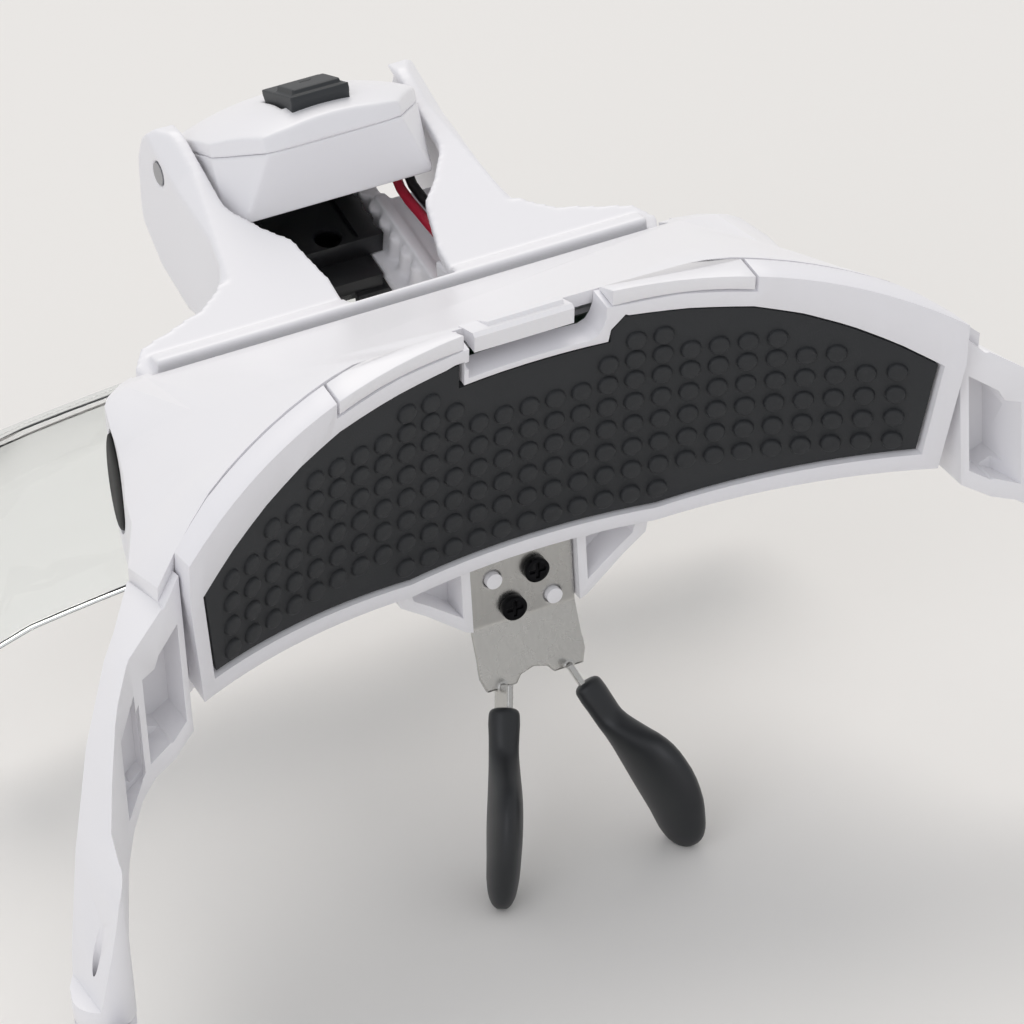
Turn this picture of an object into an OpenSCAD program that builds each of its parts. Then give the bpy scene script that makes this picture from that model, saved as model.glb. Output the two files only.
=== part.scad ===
// Lighted magnifier worn on the brow, with a folding leg on each side.
// Working frame: X to the wearer's right, Y away from the face, Z up. Its origin is the
// top centre of the nose bracket. The finished part is moved so that it stands on Z = 0.

/* [Forehead face] */
// Radius of the curved face that lies on the forehead
face_r = 97; // [92:1:106]
// Lean of that face away from upright, in degrees
face_lean = 8.8; // [8:0.2:9.6]
// Distance of the face behind the nose bracket, at the centre
face_gap = 2.6; // [2.4:0.1:3]
// Half width of the battery cover at its widest
cover_half = 51; // [50:0.5:51.5]
// Thickness of the battery cover at its rim
cover_t = 3.6; // [3.2:0.1:4]
// Depth of the pad's recess in the cover
pad_recess = 2; // [1.6:0.1:2.2]
// Thickness of the rubber pad without its bumps
pad_t = 1.3; // [0.9:0.1:1.5]

/* [Brow housing] */
// Wall thickness of the white mouldings
wall = 1.6; // [1.3:0.1:1.8]
// Fall of the deck towards the front, in degrees
deck_fall = 22.8; // [22:0.2:24]
// Height of the deck at the groove in front of the lamp bracket
deck_h = 22.1; // [21.8:0.1:22.6]
// Diameter of each arm's hinge end
knuckle_d = 7.2; // [6.6:0.1:7.6]
// Long axis of the black oval insert on each end
oval_h = 12.4; // [10:0.2:12.8]
// Short axis of the oval insert
oval_w = 6.6; // [5:0.2:7]

/* [Nose bracket] */
// Width of the steel plate
plate_w = 14.2; // [13.4:0.2:14.2]
// Thickness of the steel plate
plate_t = 0.8; // [0.6:0.1:1]
// Head diameter of the two screws
screw_head_d = 3.3; // [3:0.1:3.6]
// Shank diameter of those screws
screw_d = 1.7; // [1.4:0.1:2]
// Diameter of the two locating pegs
peg_d = 2.1; // [1.8:0.1:2.4]
// Width of one nose pad at its widest
nose_pad_w = 7.8; // [7:0.2:8.6]
// Thickness of one nose pad
nose_pad_t = 3.8; // [3.4:0.1:4.4]

/* [Lamp] */
// Half width of the lamp bracket across its arms
bracket_half = 18.8; // [18.4:0.1:20]
// Half width of the bracket's foot on the deck
foot_half = 35; // [33:0.5:36]
// Half width of the lamp head
lamp_half = 14.3; // [14:0.1:14.5]
// Tilt of the lamp head as it stands, in degrees
lamp_tilt = 19; // [17:0.5:20]
// Diameter of the pins that the lamp head tilts on
pivot_d = 3; // [2.4:0.1:3.4]
// Width of the black switch button
button_w = 8; // [7:0.2:9]
// Length of the switch button
button_l = 9.2; // [8:0.2:10]
// Diameter of one lamp wire
wire_d = 1.4; // [1:0.1:1.5]
// Diameter of one light-emitting diode
led_d = 5; // [4:0.1:5.2]

/* [Lens and slide] */
// Distance between the teeth of the rack
rack_pitch = 3.1; // [2.8:0.1:3.3]
// Number of teeth on each rack
rack_teeth = 7; // [5:1:7]
// Width of the lens
lens_w = 112; // [90:1:116]
// Height of the lens below its tab
lens_h = 28.4; // [24:0.2:30]
// Thickness of the lens
lens_t = 3.4; // [2.8:0.1:3.6]
// Radius that the lens is curved to in plan
lens_r = 280; // [240:5:400]

/* [Side legs] */
// Length of one leg behind its hinge
leg_l = 112; // [104:1:118]
// Height of a leg
leg_h = 9; // [8:0.2:9.4]
// Thickness of a leg
leg_t = 3.4; // [3:0.1:3.8]
// Diameter of the hinge pin
pin_d = 1.8; // [1.5:0.1:2.2]

/* [Cells] */
// Diameter of a battery cell
cell_d = 10.4; // [10:0.1:10.5]
// Length of a battery cell
cell_l = 44.5; // [43:0.5:44.5]

/* [Hidden] */

$fn = 40;
// Facets of the big face cylinder
face_fn = 180;
// Clearance between the cover and the housing
seat_gap = 0.3;
// Clearance of a sliding or removable rigid piece
gap = 0.25;
// Clearance of a soft piece
soft_gap = 0.3;
// Radial clearance of a turning pin
pin_gap = 0.06;
// Height of the nose bracket's top above the table
stand_h = 38.4;
// Front end of the lamp bracket
front_y = 69.5;
// Hinge pin of the right leg
hinge = [73, -39.2];
// Top and bottom of the hinge end of an arm
hinge_z = [-23.4, -13];
// Heights of the leg's eye between the two lugs
eye_z = [-20.7, -15.7];
// Turn of a leg towards the middle as it stands
leg_in = 3;
// Shift that brings the middle of the part over the origin
shift_y = (leg_l * cos(leg_in) + 2.4 * sin(leg_in) - hinge[1] - front_y) / 2;
// Middle of the lamp head's pivot
pivot = [62, 28.5];
// Start of the rack line and its rise towards the front
rack = [52, 14.4];
rack_rise = 13.8;
// Rear face of the nose bracket's seat
face_out = face_r + cover_t + seat_gap;

module placed() {
  translate([0, shift_y, stand_h]) children();
}

// Turned so that the forehead face stands upright
module lean() {
  rotate([face_lean, 0, 0]) children();
}

module both() {
  children();
  mirror([1, 0, 0]) children();
}

// Front view outline pushed from y0 forward to y1
module front_prism(y0, y1, pts) {
  translate([0, y1, 0]) rotate([90, 0, 0]) linear_extrude(y1 - y0) polygon(pts);
}

// Side view outline pushed from x0 to x1
module side_prism(x0, x1, pts) {
  translate([x0, 0, 0]) rotate([90, 0, 90]) linear_extrude(x1 - x0) polygon(pts);
}

// Curved layer between two radii of the forehead face, in the leaned frame
module face_layer(r0, r1, z0, z1) {
  translate([0, -face_gap - face_r, z0]) difference() {
    cylinder(r = r1, h = z1 - z0, $fn = face_fn);
    translate([0, 0, -1]) cylinder(r = r0, h = z1 - z0 + 2, $fn = face_fn);
  }
}

// Outline of the cover, every edge moved in by i
function cover_pts(i) = [
  [-16.5, 2.2 + i], [16.5, 2.2 + i], [cover_half - 2 - i, 7.8 + i],
  [cover_half - i, 24.4], [cover_half - i, 30.4 - i * 0.6], [27.5, 37.8 - i],
  [10, 39.4 - i], [-10, 39.4 - i], [-27.5, 37.8 - i],
  [-cover_half + i, 30.4 - i * 0.6], [-cover_half + i, 24.4],
  [-cover_half + 2 + i, 7.8 + i]];

// Outline of the pad with its notch at the top, moved in by i
function pad_pts(i) = [
  [-16.6, 4.2 + i], [16.6, 4.2 + i], [47.2 - i, 9.9 + i], [48.8 - i, 23.9 - i * 0.5],
  [27.2, 33.8 - i], [11.6, 35.4 - i], [9.8 + i * 0.5, 33.6 - i], [9.5 + i, 31.9 - i],
  [-9.5 - i, 31.9 - i], [-9.5 - i, 35.4 - i], [-10.8, 35.4 - i], [-27.2, 33.8 - i],
  [-48.8 + i, 23.9 - i * 0.5], [-47.2 + i, 9.9 + i]];

// Plan of the housing, sides and front moved in by i
function plan_pts(i) = [
  [-54 + i, -9.5], [-51.4 + i, -2], [-50.2 + i, 4], [-49 + i, 9], [-47 + i, 14.5 - i * 0.3],
  [-41 + i, 24 - i * 0.5], [-36 + i * 0.6, 31 - i], [36 - i * 0.6, 31 - i],
  [41 - i, 24 - i * 0.5], [47 - i, 14.5 - i * 0.3], [49 - i, 9], [50.2 - i, 4],
  [51.4 - i, -2], [54 - i, -9.5], [54 - i, -30], [-54 + i, -30]];

// Room inside the housing walls when i is the wall, the whole block when i is zero
module housing_room(i, back) {
  difference() {
    translate([0, 0, -2]) linear_extrude(44) polygon(plan_pts(i));
    lean() translate([0, -face_gap - face_r, -30])
      cylinder(r = back, h = 90, $fn = face_fn);
    translate([-70, 27.6, deck_h]) rotate([-deck_fall, 0, 0])
      translate([0, -90, -i]) cube([140, 120, 60]);
    both() translate([27.5, -40, 36.5 - i * 1.1]) rotate([0, 20.3, 0])
      translate([-40, 0, 0]) cube([90, 90, 40]);
    translate([-70, -40, -20]) cube([140, 90, 20.3 + i]);
    both() translate([16.5, -40, 0.3 + i]) rotate([0, -6.5, 0])
      translate([0, 0, -20]) cube([60, 90, 20]);
    translate([-70, 10, 1.5 + i]) rotate([25, 0, 0])
      translate([0, 0, -40]) cube([140, 60, 40]);
  }
}

// One arm from the housing's end down to its hinge
module arm() {
  difference() {
    intersection() {
      union() {
        translate([0, 0, -30]) linear_extrude(60) polygon([
          [48.4, -12], [50, -6], [54, -9.5], [58.7, -15.4], [60.9, -17.3], [66.5, -24],
          [70.5, -29], [74, -33], [75.9, -36.3], [hinge[0] + knuckle_d / 2, hinge[1]],
          [hinge[0] - knuckle_d / 2, hinge[1]], [68.6, -35.4], [66.2, -32.3], [62.4, -27.6],
          [58, -22.5], [54.5, -20.2], [48.4, -17]]);
        translate([hinge[0], hinge[1], -30]) cylinder(d = knuckle_d, h = 60);
      }
      front_prism(-60, 10, [
        [46, 3.6], [49.9, 3.8], [56.1, 0.3], [60.3, -2.9], [63.5, -6], [66.5, -12],
        [68.6, -18.5], [hinge[0] - 4.2, hinge_z[0]], [hinge[0] + 5, hinge_z[0]],
        [hinge[0] + 5, hinge_z[1]], [hinge[0] + 1.6, hinge_z[1]], [73.4, -8], [71, 0.6],
        [66.5, 9.6], [61, 15.4], [58.5, 18], [54.5, 24], [50.5, 26], [46, 24]]);
    }
    // room for the cover
    intersection() {
      lean() translate([0, -face_gap - face_r, -30])
        cylinder(r = face_out, h = 90, $fn = face_fn);
      translate([0, -60, -30]) cube([cover_half + seat_gap, 90, 80]);
    }
    front_prism(-30, -16.4, [[52.8, 17.8], [52.8, 5], [56.6, 2.6], [56.6, 14.9]]);
    front_prism(-34, -21, [[57.9, 13.4], [57.9, 1.2], [61.2, -0.8], [61.2, 10.4]]);
    translate([hinge[0], hinge[1], eye_z[0] - 0.1])
      cylinder(r = knuckle_d / 2 + 0.7, h = eye_z[1] - eye_z[0] + 0.2);
    translate([hinge[0], hinge[1], -30]) cylinder(r = pin_d / 2 + 0.02, h = 60);
  }
}

module stadium(h, w, t) {
  translate([0, 0, h / 2 - w / 2]) rotate([0, 90, 0]) cylinder(d = w, h = t);
  translate([0, 0, w / 2 - h / 2]) rotate([0, 90, 0]) cylinder(d = w, h = t);
  translate([0, -w / 2, w / 2 - h / 2]) cube([t, w, h - w]);
}

// Place of the oval insert on the right end
module at_oval() {
  translate([47.4, 6.4, 21.6]) rotate([0, 0, 16]) children();
}

// Middle of a cell: side angle in plan, then along the forehead curve
module at_cell(side) {
  translate([side * 23.6, 3.6, 10.9]) rotate([0, 0, -side * 14]) rotate([0, 90, 0]) children();
}

module at_top_cell() {
  translate([0, 3.9, 22]) rotate([0, 90, 0]) children();
}

module brow_housing() {
  color("#eceaf0") placed() difference() {
    union() {
      difference() {
        housing_room(0, face_out);
        housing_room(wall, face_out + 2);
        intersection() {
          housing_room(wall, face_out - 6);
          lean() front_prism(-40, 60, cover_pts(3.2));
        }
      }
      both() arm();
      both() intersection() {
        housing_room(0.4, face_out + 2);
        at_oval() translate([-1.6, 0, 0]) stadium(oval_h + 3, oval_w + 3, 5);
      }
      // seat of the nose bracket with a gusset on each side
      translate([-7.4, plate_t, 0.4 - plate_h()]) cube([14.8, 7, plate_h() + 0.4]);
      both() front_prism(-1, 6, [
        [7.3, 0.9], [7.3, -8.8], [8.3, -8.4], [13.5, -4.2], [16.7, -2], [17.4, 0.9]]);
      for (p = [[-3.9, -2.7], [4.1, -7.5]])
        translate([p[0], plate_t + 1, p[1]]) rotate([90, 0, 0])
          cylinder(d = peg_d, h = plate_t + 1.6, $fn = 24);
      // ribs that part the cells
      translate([-0.6, 4.2, 1]) cube([1.2, 6, 15]);
    }
    // groove in front of the lamp bracket and the ledge that the bracket's foot lies on
    translate([-foot_half, 26.4, 18.2]) cube([foot_half * 2, 2.5, 9]);
    translate([-foot_half - 2, 28.8, 18.2]) cube([foot_half * 2 + 4, 9, 9]);
    both() at_oval() translate([0, 0, 0]) stadium(oval_h + 0.4, oval_w + 0.4, 12);
    both() front_prism(-2, 3.4, [
      [8.5, 0], [8.5, -6.3], [12.7, -3.1], [14.9, -1.6], [15.4, 0]]);
    for (p = screw_places())
      translate([p[0], 7, p[1]]) rotate([90, 0, 0])
        cylinder(d = screw_d + 0.1, h = 9, $fn = 24);
    both() translate([26, 34, 14.6]) rotate([90, 0, 0])
      cylinder(d = screw_d + 0.1, h = 8, $fn = 24);
  }
}

function plate_h() = 9.1;
function screw_places() = [[1.8, -2.8], [-1.5, -7.3]];

module battery_cover() {
  color("#e9e7ee") placed() lean() difference() {
    union() {
      intersection() {
        face_layer(face_r, face_r + cover_t, -5, 50);
        front_prism(-60, 30, cover_pts(0));
      }
      // tongue that enters the housing
      intersection() {
        face_layer(face_r + cover_t - 1, face_r + cover_t + 1.8, 0, 45);
        difference() {
          front_prism(-60, 30, cover_pts(3.6));
          front_prism(-61, 31, cover_pts(4.9));
          translate([-60, -61, 31]) cube([120, 100, 20]);
          translate([-45, -61, -5]) cube([90, 100, 50]);
        }
      }
    }
    intersection() {
      face_layer(face_r - 2, face_r + pad_recess, 0, 45);
      front_prism(-60, 30, pad_pts(0));
    }
    // latch recess, open at the top, with the slot at its right end
    intersection() {
      face_layer(face_r - 2, face_r + 2.2, 0, 45);
      union() {
        translate([-8.4, -60, 34]) cube([16.4, 90, 3.1]);
        translate([-8.4, -60, 36]) cube([2.6, 90, 1.6]);
        translate([-9.4, -60, 34]) cube([1.6, 90, 1.2]);
      }
    }
    translate([5.9, -20, 36]) cube([2.4, 40, 8]);
  }
}

module forehead_pad() {
  color("#1d1e20") placed() lean() intersection() {
    face_layer(face_r + pad_recess - soft_gap - pad_t, face_r + pad_recess - soft_gap, 0, 45);
    front_prism(-60, 30, pad_pts(soft_gap + 0.2));
  }
}

// Right nose pad's frame: top of the pad, local Z runs back up the pad
module at_nose_pad() {
  translate([5.5, -4.4, -19.2]) rotate([-29.6, -23.5, -3.6]) children();
}

module nose_bracket() {
  color("#b9babd") placed() {
    difference() {
      translate([-plate_w / 2, 0, -plate_h()]) cube([plate_w, plate_t, plate_h()]);
      for (p = screw_places())
        translate([p[0], 5, p[1]]) rotate([90, 0, 0]) cylinder(d = screw_d + 0.3, h = 10, $fn = 24);
      for (p = [[-3.9, -2.7], [4.1, -7.5]])
        translate([p[0], 5, p[1]]) rotate([90, 0, 0]) cylinder(d = peg_d + 0.3, h = 10, $fn = 24);
    }
    translate([0, 0, -plate_h()]) rotate([-18, 0, 0]) front_prism(0, plate_t, [
      [-plate_w / 2, 0.4], [-plate_w / 2, -4], [-7.2, -6.6], [-6.6, -8.4], [-2.6, -8.4],
      [-1.8, -7.4], [0, -6.9], [1.8, -7.4], [2.6, -8.4], [6.6, -8.4], [7.2, -6.6],
      [plate_w / 2, -4], [plate_w / 2, 0.4]]);
    // tabs inside the pads
    both() at_nose_pad() translate([-plate_t / 2, -1.5, -14]) cube([plate_t, 3, 17.4]);
  }
}

// Paddle of one nose pad on the right side
module nose_paddle() {
  difference() {
    at_nose_pad() difference() {
      union() {
        translate([-nose_pad_t / 2, 0, -19.6]) rotate([0, 90, 0])
          cylinder(d = nose_pad_w, h = nose_pad_t);
        side_prism(-nose_pad_t / 2, nose_pad_t / 2, [
          [-2.3, 0], [-nose_pad_w / 2, -15], [-nose_pad_w / 2, -19.6],
          [nose_pad_w / 2, -19.6], [nose_pad_w / 2, -15], [2.3, 0]]);
        translate([-nose_pad_t / 2, 0, 0]) rotate([0, 90, 0]) cylinder(d = 4.6, h = nose_pad_t);
      }
      translate([-plate_t / 2 - soft_gap, -1.5 - soft_gap, -14 - soft_gap])
        cube([plate_t + soft_gap * 2, 3 + soft_gap * 2, 22]);
    }
    translate([0, -30, -stand_h - 20]) cube([40, 40, 20]);
  }
}

module nose_pad_right() {
  color("#232427") placed() nose_paddle();
}

module nose_pad_left() {
  color("#232427") placed() mirror([1, 0, 0]) nose_paddle();
}

module nose_screws() {
  color("#9a9b9f") placed() for (p = screw_places())
    translate([p[0], 0, p[1]]) rotate([90, 0, 0]) difference() {
      union() {
        cylinder(d = screw_head_d, h = 1);
        translate([0, 0, -6]) cylinder(d = screw_d, h = 6.5, $fn = 24);
      }
      translate([-1.1, -0.25, 0.6]) cube([2.2, 0.5, 1]);
      translate([-0.25, -1.1, 0.6]) cube([0.5, 2.2, 1]);
    }
}

module side_cap() {
  at_oval() translate([0.1, 0, 0]) stadium(oval_h, oval_w, 1.1);
}

module side_cap_right() {
  color("#17181a") placed() side_cap();
}

module side_cap_left() {
  color("#17181a") placed() mirror([1, 0, 0]) side_cap();
}

// Battery cell standing on its flat end
module cell() {
  translate([0, 0, -cell_l / 2]) cylinder(d = cell_d, h = cell_l - 0.8);
  translate([0, 0, cell_l / 2 - 1.2]) cylinder(d = 3.8, h = 1.2, $fn = 24);
}

module cell_left() {
  color("#3c6e4a") placed() at_cell(-1) cell();
}

module cell_right() {
  color("#3c6e4a") placed() at_cell(1) mirror([0, 0, 1]) cell();
}

module cell_top() {
  color("#3c6e4a") placed() at_top_cell() cell();
}

// Flat contact plates at the cell ends
module contact_plates() {
  color("#c9b27a") placed() {
    for (s = [-1, 1])
      at_cell(s) translate([-3.4, -3, s * (cell_l / 2 + 0.15) - 0.15]) cube([6.8, 6, 0.3]);
    for (s = [-1, 1])
      at_top_cell() translate([-3.4, -3, s * (cell_l / 2 + 0.15) - 0.15]) cube([6.8, 6, 0.3]);
  }
}

// Bent leaves that press on the inner ends of the lower cells
module contact_leaves() {
  color("#c9b27a") placed() both() translate([0.6, 4.8, 5]) cube([0.3, 5, 9.5]);
}

// Plan of the lamp bracket, right and left
function bracket_plan() = [
  [foot_half, 28.9], [foot_half + 0.9, 31], [foot_half - 1, 33.6], [24.4, 36.6], [21.4, 38.6],
  [19.4, 42], [bracket_half, 46], [bracket_half, 62], [bracket_half - 1.2, 66.2],
  [15, 67], [15, 50.6], [14.5, 49], [11.6, 45], [9.2, 42.5], [7.7, 36.5], [6.6, 33.6], [0, 33.6],
  [0, 28.9]];

// Frame of the rack line: X right, Y forward along the rack, Z off the rack
module at_rack() {
  translate([0, rack[0], rack[1]]) rotate([rack_rise, 0, 0]) children();
}

module lamp_bracket() {
  color("#eceaf0") placed() difference() {
    both() {
      // sloping top
      difference() {
        translate([0, 0, 10]) linear_extrude(40) polygon(bracket_plan());
        translate([-1, 28.9, 20.4]) rotate([21.8, 0, 0]) translate([0, -10, 0]) cube([60, 70, 60]);
        translate([-1, 28.9, 20.4 - wall * 1.1]) rotate([21.8, 0, 0])
          translate([0, -20, -60]) cube([60, 90, 60]);
      }
      // skirt in front of the housing
      translate([0, 31.2, 12.4]) cube([foot_half - 1.5, wall, 7.8]);
      // outer wall of the arm
      side_prism(bracket_half - wall - 0.2, bracket_half, [
        [38, 22], [40, 18.4], [46, 12.6], [56, 11.6], [64, 14], [69, 18], [front_y, 20],
        [front_y - 0.6, 28], [67, 31.4], [64.4, 33.5], [60, 32.4], [44, 26.2]]);
      // wall and floor of the wire channel, with the teeth
      at_rack() {
        difference() {
          union() {
            translate([8.3, -17, -1.6]) cube([wall, 34, 4.9]);
            translate([8.3, -17, 1]) cube([wall, 23, 3.4]);
            translate([5.5, -9, -1.6]) cube([3.6, 26, 1.4]);
            translate([8.3, -13, 2.8]) cube([bracket_half - 9, 18, 1.2]);
            for (i = [0:rack_teeth - 1])
              translate([8.4, -7.4 + i * rack_pitch, -0.4]) cylinder(r = 1.1, h = 3.6, $fn = 16);
          }
          translate([-1, -30, -3]) cube([14, 14.2, 12]);
        }
      }
      translate([8, 31.4, 12.7]) cube([wall + 0.6, 6.6, 7]);
    }
    both() translate([0, pivot[0], pivot[1]]) rotate([0, 90, 0])
      cylinder(d = pivot_d + pin_gap * 2, h = 40);
    both() translate([26, 36, 14.6]) rotate([90, 0, 0])
      cylinder(d = screw_d + 0.4, h = 8, $fn = 24);
  }
}

module bracket_screws() {
  color("#9a9b9f") placed() both() translate([26, 31.2 + wall, 14.6]) rotate([-90, 0, 0]) {
    cylinder(d = screw_head_d, h = 1);
    translate([0, 0, -5.5]) cylinder(d = screw_d, h = 6, $fn = 24);
  }
}

// Frame of the lamp head: pivot at the origin, Y forward, Z off its top
module at_lamp() {
  translate([0, pivot[0], pivot[1]]) rotate([-lamp_tilt, 0, 0]) children();
}

// Plan of the lamp head with its chamfered rear corners, moved in by i
function lamp_plan(i) = [
  [-lamp_half + i, 8], [-lamp_half + i, -9.4], [-lamp_half + 1 + i, -12 + i * 0.4],
  [-9.4 + i * 0.6, -20.4 + i * 0.8], [-6, -21.4 + i], [6, -21.4 + i],
  [9.4 - i * 0.6, -20.4 + i * 0.8], [lamp_half - 1 - i, -12 + i * 0.4],
  [lamp_half - i, -9.4], [lamp_half - i, 8]];

module lamp_body() {
  h = lamp_half;
  color("#eceaf0") placed() at_lamp() difference() {
    intersection() {
      side_prism(-h, h, [
        [-12.5, -6.7], [4.5, -5.6], [6.6, -3.6], [7, 1.8], [-20.8, 1.8]]);
      translate([0, 0, -10]) linear_extrude(20) polygon(lamp_plan(0));
    }
    intersection() {
      side_prism(-h + wall, h - wall, [
        [-11.6, -5], [3.6, -4.1], [5.3, -2.6], [5.3, 4], [-20.8, 4], [-18, 1]]);
      translate([0, 0, -10]) linear_extrude(20) polygon(lamp_plan(wall));
    }
    // light opening in the sloping underside
    translate([-9, -8, -8]) cube([18, 11, 6]);
    // wire hole
    translate([11, -6.6, -9]) cylinder(d = 3.4, h = 5.4, $fn = 24);
    rotate([0, 90, 0]) translate([0, 0, -30]) cylinder(d = pivot_d + 0.02, h = 60);
  }
}

module lamp_cover() {
  h = lamp_half;
  color("#eeecf2") placed() at_lamp() difference() {
    intersection() {
      translate([-h, -10, -54.9]) rotate([0, 90, 0]) cylinder(r = 60, h = h * 2, $fn = 160);
      translate([0, 0, 1.8]) linear_extrude(8) polygon(lamp_plan(0));
      translate([-h, -30, 1]) cube([h * 2, 37, 10]);
    }
    intersection() {
      translate([-h, -10, -56.5]) rotate([0, 90, 0]) cylinder(r = 60, h = h * 2, $fn = 160);
      linear_extrude(8) polygon(lamp_plan(wall));
      translate([-h, -19.4, 0]) cube([h * 2, 24.6, 10]);
    }
    translate([-button_w / 2 - gap, -8.2 - button_l / 2 - gap, 0])
      cube([button_w + gap * 2, button_l + gap * 2, 12]);
  }
}

module switch_button() {
  color("#26282b") placed() at_lamp() difference() {
    union() {
      translate([-button_w / 2, -8.2 - button_l / 2, 2.7]) cube([button_w, button_l, 3.6]);
      translate([-button_w / 2 + 0.7, -8.2 - button_l / 2 + 0.7, 6.2])
        cube([button_w - 1.4, button_l * 0.55, 0.8]);
      translate([-button_w / 2 - 0.7, -8.2 - button_l / 2 - 0.7, 1.9])
        cube([button_w + 1.4, button_l + 1.4, 0.9]);
      translate([-1.2, -9.4, 1.4]) cube([2.4, 2.4, 1.5]);
    }
    translate([-0.8, -8.8, 6.4]) cube([1.6, 0.4, 1]);
  }
}

module switch_body() {
  color("#3a3b3e") placed() at_lamp() {
    translate([-3, -11.2, -1.6]) cube([6, 6, 1.8]);
    translate([-1.4, -9.6, 0]) cube([2.8, 2.8, 0.4]);
  }
}

module lamp_board() {
  x = lamp_half - wall - 0.4;
  color("#2f6b44") placed() at_lamp() translate([0, 0, -2.8]) linear_extrude(1.2) difference() {
    polygon([[-x, 3.4], [-x, -8.6], [-9, -13], [9, -13], [x, -8.6], [x, 3.4]]);
    translate([11, -6.6]) circle(d = 3.4, $fn = 24);
  }
}

module lamp_leds() {
  color("#f4f2e6") placed() at_lamp() for (x = [-5.8, 0, 5.8])
    translate([x, -2.5, -4.6]) cylinder(d = led_d, h = 1.8, $fn = 24);
}

module lamp_window() {
  color("#dfe6ea") placed() at_lamp() translate([-9, -7.8, -6.1]) rotate([3.5, 0, 0])
    cube([18, 10.4, 0.9]);
}

module lamp_pins() {
  color("#9a9b9f") placed() both() translate([0, pivot[0], pivot[1]]) rotate([0, 90, 0])
    translate([0, 0, lamp_half - wall]) cylinder(d = pivot_d, h = bracket_half - lamp_half + wall);
}

// Round wire swept through the points p
module wire(p) {
  n = len(p);
  k = 8;
  t = [for (i = [0:n - 1]) let (d = p[min(i + 1, n - 1)] - p[max(i - 1, 0)]) d / norm(d)];
  ring = [for (i = [0:n - 1]) let (s = cross(t[i], [1, 0, 0]), u = s / norm(s), v = cross(t[i], u))
    for (a = [0:k - 1]) p[i] + (u * cos(a * 45) + v * sin(a * 45)) * wire_d / 2];
  sides = [for (i = [0:n - 2]) for (a = [0:k - 1])
    [i * k + a, i * k + (a + 1) % k, (i + 1) * k + (a + 1) % k, (i + 1) * k + a]];
  ends = [[for (a = [0:k - 1]) k - 1 - a], [for (a = [0:k - 1]) (n - 1) * k + a]];
  polyhedron(points = ring, faces = concat(sides, ends), convexity = 4);
}

// Route of a wire from the housing to the lamp head, x0 at its start and x1 at its end
function wire_path(x0, x1) = [
  [x0, 35.4, 17.2], [x0, 37, 18.4], [x0, 39, 19.2], [x0 * 0.8 + x1 * 0.2, 41.7, 19.8],
  [x0 * 0.6 + x1 * 0.4, 44.5, 20.4], [x0 * 0.4 + x1 * 0.6, 47.5, 21.1],
  [x0 * 0.2 + x1 * 0.8, 50, 21.7], [x1, 52, 22.6], [x1, 53.2, 23.6], [x1, 53.9, 24.9],
  [x1, 54.4, 26.6]];

module red_wire() {
  color("#a3182f") placed() wire(wire_path(11.2, 10.15));
}

module black_wire() {
  color("#141416") placed() wire(wire_path(13.2, 11.85));
}

// Plate that slides between the racks, on top of their ledges
module lens_carriage() {
  color("#1a1b1d") placed() at_rack() difference() {
    translate([-7, 0, 0.1]) cube([14, 11.4, 3]);
    both() for (i = [0:3])
      translate([8.35, 1.9 + i * rack_pitch, -1]) cylinder(r = 1.75, h = 6, $fn = 16);
    translate([0, 1.9, -5]) cylinder(d = screw_d + 0.1, h = 12, $fn = 24);
    translate([0, 1.9, 1.6]) cylinder(d = screw_head_d + 0.4, h = 4, $fn = 24);
    translate([3, 0.6, 2.4]) cube([0.8, 9.6, 2]);
  }
}

module carriage_screw() {
  color("#55565a") placed() at_rack() translate([0, 1.9, 0]) {
    translate([0, 0, 1.6]) cylinder(d = screw_head_d, h = 1);
    translate([0, 0, -3]) cylinder(d = screw_d, h = 4.8, $fn = 24);
  }
}

// Neck and shoe under the plate, with the socket for the lens's tab
module lens_clip() {
  color("#1c1d1f") placed() difference() {
    union() {
      at_rack() {
        translate([-5.2, -4, -2.1]) cube([10.4, 14.8, 2.2]);
        translate([-7, 1, -3.5]) cube([14, 9.8, 1.5]);
      }
      intersection() {
        translate([-6.2, 47.9, 8.6]) cube([12.4, 7.5, 6]);
        at_rack() translate([-20, -30, -40]) cube([40, 60, 38]);
      }
      side_prism(-5.4, 5.4, [[47, 8.6], [55.4, 8.6], [55.4, 9.6], [48, 9.6]]);
    }
    // socket, open below, and its catch window
    translate([-4.85, 51 - lens_t / 2 - 0.15, 0]) cube([9.7, lens_t + 0.3, 11.8]);
    translate([-1.5, 44, 9.9]) cube([3, 6, 1.7]);
    at_rack() translate([0, 1.9, -3.2]) cylinder(d = screw_d + 0.1, h = 12, $fn = 24);
  }
}

// Outline of the lens seen from the front
function lens_pts() = [
  [-4.6, 11.6], [-4.6, 7.1], [-lens_w / 2 + 6, 7.1], [-lens_w / 2 + 2, 5.4], [-lens_w / 2, 1.4],
  [-lens_w / 2 + 0.6, 6 - lens_h], [-lens_w / 2 + 8, 7.1 - lens_h], [-14, 7.1 - lens_h],
  [-9, 9 - lens_h], [-4, 11 - lens_h], [4, 11 - lens_h], [9, 9 - lens_h], [14, 7.1 - lens_h],
  [lens_w / 2 - 8, 7.1 - lens_h], [lens_w / 2 - 0.6, 6 - lens_h], [lens_w / 2, 1.4],
  [lens_w / 2 - 2, 5.4], [lens_w / 2 - 6, 7.1], [4.6, 7.1], [4.6, 11.6]];

module lens() {
  color("#dfeee8", 0.4) placed() intersection() {
    translate([0, 51 + lens_t / 2 - lens_r, -40]) difference() {
      cylinder(r = lens_r, h = 80, $fn = 360);
      translate([0, 0, -1]) cylinder(r = lens_r - lens_t, h = 82, $fn = 360);
    }
    front_prism(0, 90, lens_pts());
  }
}

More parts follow.
